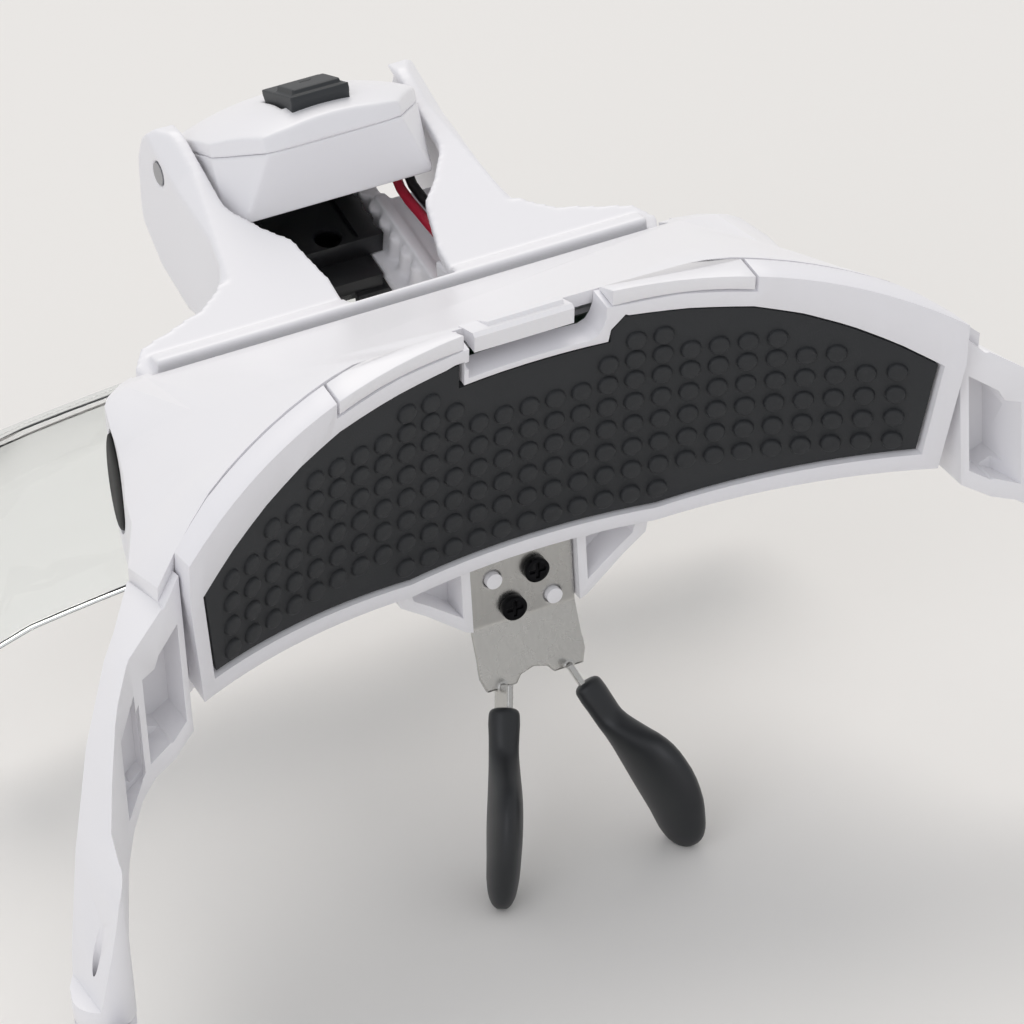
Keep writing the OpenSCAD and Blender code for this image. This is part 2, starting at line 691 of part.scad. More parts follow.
// Frame of the right leg: hinge pin at the origin
module at_leg() {
  translate([hinge[0], hinge[1], 0]) rotate([0, 0, -leg_in]) children();
}

module leg() {
  z0 = -18.1;
  at_leg() difference() {
    union() {
      translate([0, 0, eye_z[0]]) cylinder(d = knuckle_d - 0.2, h = eye_z[1] - eye_z[0]);
      translate([-leg_t / 2, -8, eye_z[0]]) cube([leg_t, 6.4, eye_z[1] - eye_z[0]]);
      side_prism(-leg_t / 2, leg_t / 2, [
        [-4.9, z0 - leg_h / 2 + 1], [-4.9, z0 + leg_h / 2 - 1], [-6.4, z0 + leg_h / 2],
        [-18, z0 + leg_h / 2], [-leg_l * 0.4, z0 + 4], [44 - leg_l, z0 + 3.5],
        [44 - leg_l, z0 - 3.2], [-leg_l * 0.4, z0 - 4], [-20, z0 - leg_h / 2],
        [-6.4, z0 - leg_h / 2]]);
      // core inside the sleeve
      side_prism(-0.9, 0.9, [
        [46 - leg_l, z0 + 2], [34 - leg_l, z0 + 1], [22 - leg_l, z0 - 2.2],
        [12 - leg_l, z0 - 8.6], [9 - leg_l, z0 - 11.4], [11.4 - leg_l, z0 - 12.6],
        [21 - leg_l, z0 - 5.6], [33 - leg_l, z0 - 2], [46 - leg_l, z0 - 2]]);
    }
    translate([0, 0, -30]) cylinder(r = pin_d / 2 + pin_gap, h = 30);
  }
}

module leg_right() {
  color("#e4e3e8") placed() leg();
}

module leg_left() {
  color("#e4e3e8") placed() mirror([1, 0, 0]) leg();
}

module ear_sleeve() {
  z0 = -18.1;
  b = stand_h + z0;
  at_leg() difference() {
    side_prism(-2.4, 2.4, [
      [43.7 - leg_l, z0 + 3.6], [32 - leg_l, z0 + 2.9], [20 - leg_l, z0 - 0.6],
      [9 - leg_l, z0 - 7.4], [1.5 - leg_l, z0 - 15], [-leg_l, z0 - 18.4], [0.4 - leg_l, -stand_h],
      [8.6 - leg_l, -stand_h], [15 - leg_l, z0 - 13.6], [24 - leg_l, z0 - 7.6],
      [33 - leg_l, z0 - 4.4], [43.7 - leg_l, z0 - 3.4]]);
    side_prism(-0.9 - soft_gap, 0.9 + soft_gap, [
      [47 - leg_l, z0 + 2.3], [33.8 - leg_l, z0 + 1.3], [21.8 - leg_l, z0 - 1.8],
      [11.6 - leg_l, z0 - 8.2], [8.4 - leg_l, z0 - 11.4], [11.2 - leg_l, z0 - 13],
      [21.2 - leg_l, z0 - 6], [33 - leg_l, z0 - 2.3], [47 - leg_l, z0 - 2.3]]);
  }
}

module ear_sleeve_right() {
  color("#232427") placed() ear_sleeve();
}

module ear_sleeve_left() {
  color("#232427") placed() mirror([1, 0, 0]) ear_sleeve();
}

module hinge_pin() {
  translate([hinge[0], hinge[1], hinge_z[0] + 0.3])
    cylinder(d = pin_d, h = hinge_z[1] - hinge_z[0] - 0.2);
}

module hinge_pin_right() {
  color("#9a9b9f") placed() hinge_pin();
}

module hinge_pin_left() {
  color("#9a9b9f") placed() mirror([1, 0, 0]) hinge_pin();
}

brow_housing();
battery_cover();
forehead_pad();
nose_bracket();
nose_pad_left();
nose_pad_right();
nose_screws();
side_cap_left();
side_cap_right();
cell_left();
cell_right();
cell_top();
contact_plates();
contact_leaves();
lamp_bracket();
bracket_screws();
lamp_body();
lamp_cover();
switch_button();
switch_body();
lamp_board();
lamp_leds();
lamp_window();
lamp_pins();
red_wire();
black_wire();
lens_carriage();
lens_clip();
carriage_screw();
lens();
leg_left();
leg_right();
ear_sleeve_left();
ear_sleeve_right();
hinge_pin_left();
hinge_pin_right();
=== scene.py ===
# %% [markdown]
# # Lighted brow magnifier
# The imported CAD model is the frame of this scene: every piece below is dressed over one of its
# solids, in metres and in the same coordinates. Each step first says what the piece is on the
# real object and why it is made the way it is.

import math
import bmesh
import bpy
from mathutils import Matrix, Vector


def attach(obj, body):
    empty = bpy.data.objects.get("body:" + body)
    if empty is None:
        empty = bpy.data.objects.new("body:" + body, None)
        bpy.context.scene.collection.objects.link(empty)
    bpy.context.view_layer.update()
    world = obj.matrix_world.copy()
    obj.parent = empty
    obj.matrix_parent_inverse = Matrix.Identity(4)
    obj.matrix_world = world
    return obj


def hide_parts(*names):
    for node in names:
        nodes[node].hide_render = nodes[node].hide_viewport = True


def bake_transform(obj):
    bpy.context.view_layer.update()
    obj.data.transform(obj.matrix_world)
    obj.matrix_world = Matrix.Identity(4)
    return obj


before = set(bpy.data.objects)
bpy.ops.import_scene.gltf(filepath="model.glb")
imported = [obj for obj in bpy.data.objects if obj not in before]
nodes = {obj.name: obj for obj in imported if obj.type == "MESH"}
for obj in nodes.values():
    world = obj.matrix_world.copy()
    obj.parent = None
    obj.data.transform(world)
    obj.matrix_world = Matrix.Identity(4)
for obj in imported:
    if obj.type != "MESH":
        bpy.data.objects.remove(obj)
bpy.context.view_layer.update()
print("CAD nodes:", len(nodes))

# %% [markdown]
# ## Camera
# The photograph was taken from behind the wearer's left shoulder, looking down on the part. The
# camera is placed first, because every later choice is judged through it. Its place and lens
# come from matching mirrored points of the part with the picture.

# %% Place the camera
MM = 0.001
# Places are measured in mm from the top of the nose plate, and SHIFT leads to the scene's origin
SHIFT = Vector((0, 40.8358, 38.4))
# The picture's right, down and depth, as directions over the part
RIGHT = Vector((0.8947, -0.4437, -0.0507))
DOWN = Vector((-0.2797, -0.4682, -0.8382))
AHEAD = Vector((0.3481, 0.7641, -0.5430))
# Where the camera stands in mm, and its sensor and lens
CAMERA_SPOT = (-235.213, -514.650, 371.789)
SENSOR = 36
FOCAL = 195.18


def place(x, y, z):
    """A point of the measuring frame, in mm from the top of the nose plate, in the scene."""
    return (Vector((x, y, z)) + SHIFT) * MM


camera_data = bpy.data.cameras.new("photo_camera")
camera = bpy.data.objects.new("photo_camera", camera_data)
bpy.context.scene.collection.objects.link(camera)
turn = Matrix((RIGHT, -DOWN, -AHEAD)).transposed()
camera.matrix_world = Matrix.Translation(place(*CAMERA_SPOT)) @ turn.to_4x4()
camera_data.sensor_width = SENSOR
camera_data.lens = FOCAL
camera_data.clip_start = 0.01
bpy.context.scene.camera = camera
print("camera stands", round(camera.location.length, 3), "m from the part")

# %% [markdown]
# ## Table and light
# The real part stands on a pale printed sheet by a bright window. Here it gets a plain pale
# table and soft studio light: a wide window light from beyond the part, a weak lamp on the
# camera's side, and an even sky. The window is a sun with a large angle, because a sun lights the
# whole table alike, and its angle gives the shadow a soft edge. The pale background comes from
# the colours, not from the lamps.

# %% A helper that adds a node
def add(tree, kind, settings=(), **links):
    """Adds one node. settings are attributes, links are input names with a value or a socket."""
    n = tree.nodes.new(kind)
    for key, value in dict(settings).items():
        setattr(n, key, value)
    for key, value in links.items():
        socket = n.inputs[key.replace("_", " ")]
        if isinstance(value, bpy.types.NodeSocket):
            tree.links.new(value, socket)
        else:
            socket.default_value = value
    return n


def srgb(code):
    """sRGB hex to a linear colour."""
    parts = [int(code[i:i + 2], 16) / 255 for i in (1, 3, 5)]
    lin = [c / 12.92 if c <= 0.04045 else ((c + 0.055) / 1.055) ** 2.4 for c in parts]
    return (*lin, 1.0)


# %% The table
def table_material():
    """Matt coated paper: even, with no gloss to pick up the lamps."""
    m = bpy.data.materials.new("coated_paper")
    m.use_nodes = True
    t = m.node_tree
    shader = t.nodes["Principled BSDF"]
    shader.inputs["Base Color"].default_value = srgb("#eceae7")
    shader.inputs["Roughness"].default_value = 0.85
    shader.inputs["Specular IOR Level"].default_value = 0.2
    return m


bm = bmesh.new()
bmesh.ops.create_grid(bm, x_segments=1, y_segments=1, size=3.0)
table_mesh = bpy.data.meshes.new("table")
bm.to_mesh(table_mesh)
bm.free()
table = bpy.data.objects.new("table", table_mesh)
bpy.context.scene.collection.objects.link(table)
table_mesh.materials.append(table_material())
print("table laid")

# %% The lamps and the sky
PART_MIDDLE = Vector((0, 0, 0.05))


def hang(name, data, spot, colour):
    """Hangs a lamp at the spot, turned to the middle of the part."""
    data.color = srgb(colour)[:3]
    lamp = bpy.data.objects.new(name, data)
    bpy.context.scene.collection.objects.link(lamp)
    lamp.location = spot
    lamp.rotation_euler = (PART_MIDDLE - Vector(spot)).to_track_quat("-Z", "Y").to_euler()


window = bpy.data.lights.new("window", "SUN")
window.energy = 1.05
window.angle = math.radians(34)
hang("window", window, (0.5, 1.1, 1.7), "#fffaf4")
room = bpy.data.lights.new("room", "AREA")
room.shape = "DISK"
room.size = 1.5
room.energy = 6
hang("room", room, (-1.5, -0.9, 1.1), "#f6f8ff")

sky = bpy.data.worlds.new("sky")
bpy.context.scene.world = sky
sky.use_nodes = True
sky_tree = sky.node_tree
sky_tree.nodes["Background"].inputs["Color"].default_value = srgb("#f1f2f4")
sky_tree.nodes["Background"].inputs["Strength"].default_value = 0.74
bpy.context.scene.view_settings.view_transform = "Standard"
print("lit by two lamps and a sky")

# %% [markdown]
# ## Moulded plastics and metals
# Nearly all of the part is injection moulded, so its surfaces are even, with a fine grain that
# only shows as a soft highlight. Each material is a shader with a slow drift of colour and a grain
# bump, both sized in mm on the object, so that the grain is as fine on a large piece as on a small.

# %% Moulded surfaces
# Size of the slow drift of colour, in mm
DRIFT_SIZE = 14


def moulded(name, code, rough, grain=0.12, lift=0.02, tint=0.02, spec=0.5, coat=0.0):
    """A moulded finish. grain is the texture's size and lift its height, in mm."""
    m = bpy.data.materials.new(name)
    m.use_nodes = True
    t = m.node_tree
    shader = t.nodes["Principled BSDF"]
    spot = add(t, "ShaderNodeTexCoord").outputs["Object"]
    cloud = add(t, "ShaderNodeTexNoise", Vector=spot, Scale=1 / (DRIFT_SIZE * MM), Detail=3.0)
    colour = add(t, "ShaderNodeMix", {"data_type": "RGBA"}, Factor=cloud.outputs["Fac"])
    base = srgb(code)
    colour.inputs["A"].default_value = tuple(c * (1 - tint) for c in base[:3]) + (1,)
    colour.inputs["B"].default_value = tuple(min(c * (1 + tint), 1) for c in base[:3]) + (1,)
    fine = add(t, "ShaderNodeTexNoise", Vector=spot, Scale=1 / (grain * MM), Detail=2.0)
    bump = add(t, "ShaderNodeBump", Height=fine.outputs["Fac"], Strength=1.0, Distance=lift * MM)
    t.links.new(colour.outputs["Result"], shader.inputs["Base Color"])
    t.links.new(bump.outputs["Normal"], shader.inputs["Normal"])
    shader.inputs["Roughness"].default_value = rough
    shader.inputs["Specular IOR Level"].default_value = spec
    shader.inputs["Coat Weight"].default_value = coat
    return m


# White ABS of the brow, bracket and lamp head, moulded with a fine grain that blurs highlights
WHITE_ABS = moulded("white_abs", "#efeef1", 0.36, lift=0.004, tint=0.008)
# The same ABS on the cover, which is handled most, so its highlights are a little duller
COVER_ABS = moulded("cover_abs", "#ecebef", 0.42, lift=0.006, tint=0.008)
# Silicone, moulded matt on the forehead pad, so that it looks dark and even
PAD_RUBBER = moulded("silicone_pad", "#232528", 0.62, grain=0.25, lift=0.02, tint=0.08)
# Smoother silicone of the nose pads and ear sleeves, where a soft highlight shows the form
NOSE_RUBBER = moulded("nose_silicone", "#1f2124", 0.42, grain=0.2, lift=0.008, tint=0.08)
# Black ABS of the lens slide, its clip and the switch, smooth enough for bright edges
BLACK_ABS = moulded("black_abs", "#1b1c1e", 0.38, grain=0.2, lift=0.01, tint=0.1)
# Silicone cap of the button, moulded matt, so that it looks greyer than the slide
BUTTON_RUBBER = moulded("button_rubber", "#2b2e31", 0.5, grain=0.2, lift=0.012, tint=0.06)
# Black acrylic of the oval inserts. It is seen so flatly that only a low specular keeps it black
GLOSS_INSERT = moulded("polished_insert", "#09090a", 0.45, lift=0.001, tint=0.05, spec=0.08)
# Nylon of the legs, which bend without breaking, moulded smooth and a little dull
LEG_NYLON = moulded("leg_nylon", "#e2e1e6", 0.42, lift=0.008)
# Shrink film of the cells, solder mask of the lamp's board and cast resin of its LEDs: thin
# smooth coats that shine more than the mouldings round them
CELL_SLEEVE = moulded("cell_sleeve", "#3f6d4d", 0.35, lift=0.002)
BOARD_MASK = moulded("solder_mask", "#2c6b44", 0.4, lift=0.004)
LED_RESIN = moulded("led_resin", "#f1ecd2", 0.15, lift=0.001, coat=0.5)
# PVC of the two wires, extruded smooth, so that each shows one bright line along it
RED_PVC = moulded("red_wire_pvc", "#a3142f", 0.32, grain=0.4, lift=0.01, tint=0.05)
BLACK_PVC = moulded("black_wire_pvc", "#121214", 0.3, grain=0.4, lift=0.01, tint=0.05)
print("moulded finishes ready")

# %% Metals
# Handling leaves patches of BLOTCH_SIZE mm that are rougher or smoother by ROUGH_SPREAD, and the
# grain's hollows get a painted shade, their colour darkened by the factor below
BLOTCH_SIZE = 3
ROUGH_SPREAD = 0.25
GRAIN_HOLLOW_SHADE = 0.88


def metal(name, code, rough, stretch=(1, 1, 1), size=0.3, lift=0.01):
    """Rolled or turned metal: the grain follows stretch, in mm of size."""
    m = bpy.data.materials.new(name)
    m.use_nodes = True
    t = m.node_tree
    shader = t.nodes["Principled BSDF"]
    spot = add(t, "ShaderNodeTexCoord").outputs["Object"]
    turned = add(t, "ShaderNodeMapping", Vector=spot, Scale=stretch)
    grain = add(t, "ShaderNodeTexNoise", Vector=turned.outputs["Vector"],
                Scale=1 / (size * MM), Detail=4.0)
    blotch = add(t, "ShaderNodeTexNoise", Vector=spot, Scale=1 / (BLOTCH_SIZE * MM), Detail=3.0)
    span = add(t, "ShaderNodeMapRange", Value=blotch.outputs["Fac"],
               To_Min=rough * (1 - ROUGH_SPREAD), To_Max=rough * (1 + ROUGH_SPREAD))
    bump = add(t, "ShaderNodeBump", Height=grain.outputs["Fac"], Strength=1.0, Distance=lift * MM)
    base = srgb(code)
    # Painted shade: the colour is darker where the grain is low, in its hollows
    colour = add(t, "ShaderNodeMix", {"data_type": "RGBA"}, Factor=grain.outputs["Fac"])
    colour.inputs["A"].default_value = tuple(c * GRAIN_HOLLOW_SHADE for c in base[:3]) + (1,)
    colour.inputs["B"].default_value = base
    t.links.new(colour.outputs["Result"], shader.inputs["Base Color"])
    t.links.new(span.outputs["Result"], shader.inputs["Roughness"])
    t.links.new(bump.outputs["Normal"], shader.inputs["Normal"])
    shader.inputs["Metallic"].default_value = 1.0
    return m


# Stainless sheet, tumbled after stamping: blurred reflections with fine lines down the plate
PLATE_STEEL = metal("tumbled_steel", "#c2c1be", 0.27, stretch=(1, 1, 0.12), size=0.5, lift=0.02)
# Zinc-plated steel of the pins and the front screws: light grey, with bright edges
SCREW_STEEL = metal("plated_screw", "#a7a8ab", 0.3)
# Black oxide on steel: nearly black, with a metal's highlight
BLACK_SCREW = metal("black_oxide_screw", "#1c1c1e", 0.35)
# Brass of the contacts, rolled: a dull yellow shine
CONTACT_BRASS = metal("plated_brass", "#c8b27c", 0.3)
print("metals ready")

# %% Clear acrylic
ACRYLIC_IOR = 1.49


def acrylic(name, code, rough):
    """Clear moulded acrylic: light passes through it and bends as in the real plastic."""
    m = bpy.data.materials.new(name)
    m.use_nodes = True
    shader = m.node_tree.nodes["Principled BSDF"]
    shader.inputs["Base Color"].default_value = srgb(code)
    shader.inputs["Roughness"].default_value = rough
    shader.inputs["Transmission Weight"].default_value = 1.0
    shader.inputs["IOR"].default_value = ACRYLIC_IOR
    return m


# Polished acrylic of the lens, clear with a bright edge, and the lamp's window, a little frosted
LENS_ACRYLIC = acrylic("lens_acrylic", "#fcfffe", 0.0)
WINDOW_ACRYLIC = acrylic("window_acrylic", "#f2f5f7", 0.08)
print("clear plastics ready")

# %% [markdown]
# ## Cutting and joining blocks
# The CAD solids hold every form that moves or seats. Finer forms, such as a notch or a lip, are
# cut into copies of them with blocks: a polygon with few corners pushed along one axis, and the
# Boolean modifier with its exact solver, which keeps the other faces as they are.

# %% A helper that makes a block
# For each axis: the two coordinates that the polygon gives, and the one that it is pushed along
AXES = {"x": (1, 2, 0), "y": (0, 2, 1), "z": (0, 1, 2)}


def block(points, axis, low, high, at=Matrix.Identity(4)):
    """A closed block in mm: the polygon pushed along the axis from low to high."""
    first, second, along = AXES[axis]
    bm = bmesh.new()
    corners = []
    for p in points:
        spot = Vector()
        spot[first], spot[second], spot[along] = p[0], p[1], low
        corners.append(bm.verts.new(spot))
    grown = bmesh.ops.extrude_face_region(bm, geom=[bm.faces.new(corners)])
    push = Vector()
    push[along] = high - low
    ends = [v for v in grown["geom"] if isinstance(v, bmesh.types.BMVert)]
    bmesh.ops.translate(bm, vec=push, verts=ends)
    frame_to_world = Matrix.Translation(SHIFT * MM) @ Matrix.Scale(MM, 4) @ at
    bmesh.ops.transform(bm, matrix=frame_to_world, verts=bm.verts)
    bmesh.ops.recalc_face_normals(bm, faces=bm.faces)
    mesh = bpy.data.meshes.new("block")
    bm.to_mesh(mesh)
    bm.free()
    return mesh


FLIP = Matrix.Scale(-1, 4, Vector((1, 0, 0)))


def both(points, axis, low, high, at=Matrix.Identity(4)):
    """The block and its mirror twin on the other side."""
    return [block(points, axis, low, high, at), block(points, axis, low, high, FLIP @ at)]


# %% A helper that applies the blocks
def carved(mesh, blocks, operation="DIFFERENCE"):
    """The mesh after one Boolean with each block."""
    maker = bpy.data.objects.new("maker", mesh)
    bpy.context.scene.collection.objects.link(maker)
    tools = []
    for one in blocks:
        tool = bpy.data.objects.new("tool", one)
        bpy.context.scene.collection.objects.link(tool)
        step = maker.modifiers.new("step", "BOOLEAN")
        step.operation = operation
        step.solver = "EXACT"
        step.object = tool
        tools.append(tool)
    made = maker.evaluated_get(bpy.context.evaluated_depsgraph_get())
    result = bpy.data.meshes.new_from_object(made)
    for one in [maker] + tools:
        bpy.data.objects.remove(one)
    return result


# Corners closer than this, in metres, are one corner
MERGE = 2e-6


def copied(node, cuts=(), adds=()):
    """A merged copy of the CAD node's mesh, with blocks joined and cut."""
    bm = bmesh.new()
    bm.from_mesh(nodes[node].data)
    bmesh.ops.remove_doubles(bm, verts=bm.verts, dist=MERGE)
    bmesh.ops.recalc_face_normals(bm, faces=bm.faces)
    mesh = bpy.data.meshes.new(node + "_copy")
    bm.to_mesh(mesh)
    bm.free()
    if adds:
        mesh = carved(mesh, adds, "UNION")
    if cuts:
        mesh = carved(mesh, cuts)
    return mesh


def moved(bm, shape):
    """Moves every vertex to the place that shape gives for it, in mm."""
    for v in bm.verts:
        v.co = (Vector(shape(*(v.co / MM - SHIFT))) + SHIFT) * MM


ON_PLANE = 1e-6


def sliced(bm, slices):
    """Cuts the mesh at each x in mm, so that it can bend there."""
    for x in slices:
        bmesh.ops.bisect_plane(bm, geom=bm.verts[:] + bm.edges[:] + bm.faces[:], dist=ON_PLANE,
                               plane_co=(Vector((x, 0, 0)) + SHIFT) * MM, plane_no=(1, 0, 0))


SHADE_ANGLE = 32
TUBE_ANGLE = 40


def finished(mesh, name, node, body, material, angle=None):
    """The piece made from the mesh, riding on its body in the node's place."""
    for p in mesh.polygons:
        p.use_smooth = True
    if angle:
        mesh.set_sharp_from_angle(angle=math.radians(angle))
    mesh.materials.clear()
    mesh.materials.append(material)
    mesh.name = name
    piece = bpy.data.objects.new(name, mesh)
    bpy.context.scene.collection.objects.link(piece)
    if body:
        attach(piece, body)
    if node:
        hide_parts(node)
    print(name, len(mesh.polygons), "faces")
    return piece


# %% [markdown]
# ## Rounding the solids
# The CAD solids have sharp edges. A moulding never does, so each rigid piece is a copy of its
# solid with its flat facets joined and its edges rounded, which lets them catch the light.

# %% A helper that rounds a mesh
FLAT_ANGLE = 0.6
SHARP_ANGLE = 28
BEVEL_STEPS = 2


def round_edges(mesh, radius, shape=None, slices=()):
    """Joins flat facets, slices and reshapes the mesh, then rounds its sharp edges."""
    bm = bmesh.new()
    bm.from_mesh(mesh)
    bmesh.ops.remove_doubles(bm, verts=bm.verts, dist=MERGE)
    bmesh.ops.dissolve_limit(bm, angle_limit=math.radians(FLAT_ANGLE), verts=bm.verts,
                             edges=bm.edges, use_dissolve_boundaries=False)
    sliced(bm, slices)
    if shape:
        moved(bm, shape)
    least = math.radians(SHARP_ANGLE)
    sharp = [e for e in bm.edges if e.is_manifold and e.calc_face_angle(0) > least]
    bmesh.ops.bevel(bm, geom=sharp, offset=radius * MM, segments=BEVEL_STEPS, profile=0.5,
                    affect="EDGES", clamp_overlap=True, material=-1)
    bmesh.ops.recalc_face_normals(bm, faces=bm.faces)
    bm.to_mesh(mesh)
    bm.free()
    return mesh


def rounded(name, node, body, material, radius, cuts=(), adds=(), shape=None, slices=(),
            later=()):
    """A copy of the CAD node with rounded edges. later holds blocks cut after the reshaping."""
    mesh = copied(node, cuts, adds)
    if later:
        bm = bmesh.new()
        bm.from_mesh(mesh)
        sliced(bm, slices)
        moved(bm, shape)
        bmesh.ops.triangulate(bm, faces=bm.faces)
        bm.to_mesh(mesh)
        bm.free()
        mesh = round_edges(carved(mesh, later), radius)
    else:
        mesh = round_edges(mesh, radius, shape=shape, slices=slices)
    return finished(mesh, name, node, body, material, SHADE_ANGLE)


# %% [markdown]
# ## Softening a solid
# Silicone pads and the lamp's mouldings have no hard edge at all. Their solids are turned into an
# even grid of small faces with the Remesh modifier, and the Smooth modifier then melts the edges,
# which is simpler than bevelling each one. Both are applied, so that the mesh is final.

# %% A helper that softens a copy of a solid
def softened(name, node, body, material, grid, passes, keep=1.0, cuts=(), adds=(), shape=None):
    """The CAD node as one soft form. grid is the face size in mm, keep the share of faces kept."""
    maker = bpy.data.objects.new(name + "_maker", copied(node, cuts, adds))
    bpy.context.scene.collection.objects.link(maker)
    mesher = maker.modifiers.new("even", "REMESH")
    mesher.mode = "VOXEL"
    mesher.voxel_size = grid * MM
    melt = maker.modifiers.new("melt", "SMOOTH")
    melt.factor = 0.5
    melt.iterations = passes
    if keep < 1:
        thin = maker.modifiers.new("thin", "DECIMATE")
        thin.ratio = keep
    made = maker.evaluated_get(bpy.context.evaluated_depsgraph_get())
    mesh = bpy.data.meshes.new_from_object(made)
    bpy.data.objects.remove(maker)
    if shape:
        bm = bmesh.new()
        bm.from_mesh(mesh)
        moved(bm, shape)
        bm.to_mesh(mesh)
        bm.free()
    return finished(mesh, name, node, body, material)


# %% [markdown]
# ## The brow
# The real brow is one crowned moulding: its deck falls away to both ends in a smooth curve, and
# its ends are nearly upright. The CAD deck is two planes, so the copy is sliced into strips and
# its height is moved from the planes to the curve.

# %% Reading off a curve
def near(value, low, high):
    """0 below low, 1 above high, and a straight rise between."""
    return min(1, max(0, (value - low) / (high - low)))


def curve(table, value):
    """A value read off a table of straight pieces."""
    for (a, p), (b, q) in zip(table, table[1:]):
        if value <= b:
            return p + (q - p) * near(value, a, b)
    return table[-1][1]


# %% Height of the deck
# The deck starts at its front edge and climbs towards the wearer
FRONT_Y, FRONT_Z = 27.6, 22.1
CAD_CLIMB, REAL_CLIMB = 0.4204, 0.4536
# In the solid a second plane falls from this shoulder to the end
EDGE_X, EDGE_Z, EDGE_FALL = 27.5, 36.5, 0.37
# On the real brow a crown curves down to the end, tilts forward, and falls faster past END_X
BROW_HALF = 51
CROWN_Y, CROWN_Z, CROWN_TILT = -8.5, 40.3, 0.279
CROWN_DROP, CROWN_POWER = 14.6, 2.63
END_X, END_FALL = 44.6, 0.22


def cad_deck(x, y):
    """Height of the solid's deck over a place."""
    return min(FRONT_Z + (FRONT_Y - y) * CAD_CLIMB, EDGE_Z - (abs(x) - EDGE_X) * EDGE_FALL)


def real_deck(x, y):
    """Height of the real deck over a place."""
    crown = (CROWN_Z - CROWN_DROP * (abs(x) / BROW_HALF) ** CROWN_POWER
             - END_FALL * max(0, abs(x) - END_X))
    return min(FRONT_Z + (FRONT_Y - y) * REAL_CLIMB, crown - CROWN_TILT * (y - CROWN_Y))


print("deck falls", round(real_deck(0, 0) - real_deck(50, 0), 1), "mm towards an end")

# %% Shape of the housing
# Half width of the brow along y in the solid and on the real brow, and the arm's outer side
CAD_SIDE = ((-9.5, 54), (-2, 51.4), (4, 50.2), (9, 49), (14.5, 47), (24, 41), (31, 36))
REAL_SIDE = ((-9.5, 54), (-5.5, 51.3), (-1, 50), (4, 48.6), (9, 46.7), (14.5, 45.1), (19, 44.3),
             (22, 43.8), (23.6, 43), (24.8, 41.8), (29.8, 36.8), (31, 36))
ARM_OUTER = ((-39.2, 76.6), (-36.3, 75.9), (-33, 74), (-29, 70.5), (-24, 66.5), (-17.3, 60.9),
             (-15.4, 58.7))
# The side moves in front of ARM_Y, from nothing at SIDE_FROM to all of it at SIDE_TO
ARM_Y = -9.5
SIDE_FROM, SIDE_TO = 30, 44
# The deck moves above DECK_BASE, back to DECK_REAR, and fades out along the arm up to FADE_X
DECK_BASE = 5.0
DECK_REAR, DECK_END = -18, 54
FADE_X, FADE = 60, 6
# The arm gets slimmer from its inner side, over a stretch that ends before the hinge
SLIM_X, SLIM_SHARE = 56, 0.26
SLIM_START, SLIM_FULL = 18, 23
SLIM_END, SLIM_FADE = 34.6, 8


def brow_shape(x, y, z):
    """Where a point of the CAD housing lies on the real one."""
    side = math.copysign(1, x)
    a = abs(x)
    part = near(FADE_X - a, 0, FADE)
    if y > ARM_Y and a > SIDE_FROM:
        ratio = curve(REAL_SIDE, y) / curve(CAD_SIDE, y)
        a *= 1 + (ratio - 1) * near(abs(x), SIDE_FROM, SIDE_TO)
    if z > DECK_BASE and part:
        row = max(y, DECK_REAR)
        cad, real = cad_deck(x, row), real_deck(min(abs(x), DECK_END), row)
        z = DECK_BASE + (z - DECK_BASE) * (1 + part * ((real - DECK_BASE) / (cad - DECK_BASE) - 1))
    if y < -SLIM_START and a > SLIM_X:
        outer = curve(ARM_OUTER, y)
        slim = SLIM_SHARE * near(-y, SLIM_START, SLIM_FULL) * near(SLIM_END + y, 0, SLIM_FADE)
        a += max(0, outer - a) * slim
    return side * a, y, z


print("side moves in by", round(50 - brow_shape(50, 4, 0)[0], 1), "mm")

# %% Shape of the cover and the pad
# The forehead face leans back, so the rim and the pad are measured in a frame that leans with it
LEAN = Matrix.Rotation(math.radians(8.8), 4, "X")
UNLEAN = LEAN.inverted()
# The rim's height along x is three straight pieces in the solid and one curve on the real cover
CAD_RIM = ((10, 39.4), (27.5, 37.8), (51, 30.4))
RIM_Z, RIM_DROP, RIM_POWER = 39.6, 9.2, 3.1
# The rim moves above RIM_BASE and stands RIM_STEP over the deck
RIM_BASE = 24.4
RIM_STEP = 0.25
# The pad's upper edge moves above PAD_BASE and past PAD_FLAT
CAD_PAD_TOP = ((11.6, 35.4), (27.2, 33.8), (48.8, 23.9))
REAL_PAD_TOP = ((11.6, 35.4), (19.4, 34.8), (27.2, 33.8), (33, 32.1), (38.4, 29.9), (43.6, 27.2),
                (48.8, 23.9))
PAD_BASE = 18
PAD_FLAT = 11.6
# The cover's face changes from the pad's move to the rim's between these distances
OVER_PAD, UNDER_RIM = 0.2, 0.6


def real_rim(x):
    """Height of the real rim over a place, in the leaning frame."""
    return RIM_Z - RIM_DROP * (abs(x) / BROW_HALF) ** RIM_POWER


def under_deck(x, y, z):
    """Keeps a point of the rim in line with the deck's slope."""
    return Vector((x, y, min(z, real_deck(x, y) + RIM_STEP)))


def rim_shape(x, y, z):
    """The cover's upper edge, moved from straight pieces to one curve."""
    spot = UNLEAN @ Vector((x, y, z))
    if spot.z > RIM_BASE:
        cad, real = curve(CAD_RIM, abs(x)), real_rim(x)
        spot.z = RIM_BASE + (spot.z - RIM_BASE) * (real - RIM_BASE) / (cad - RIM_BASE)
    return under_deck(*(LEAN @ spot))


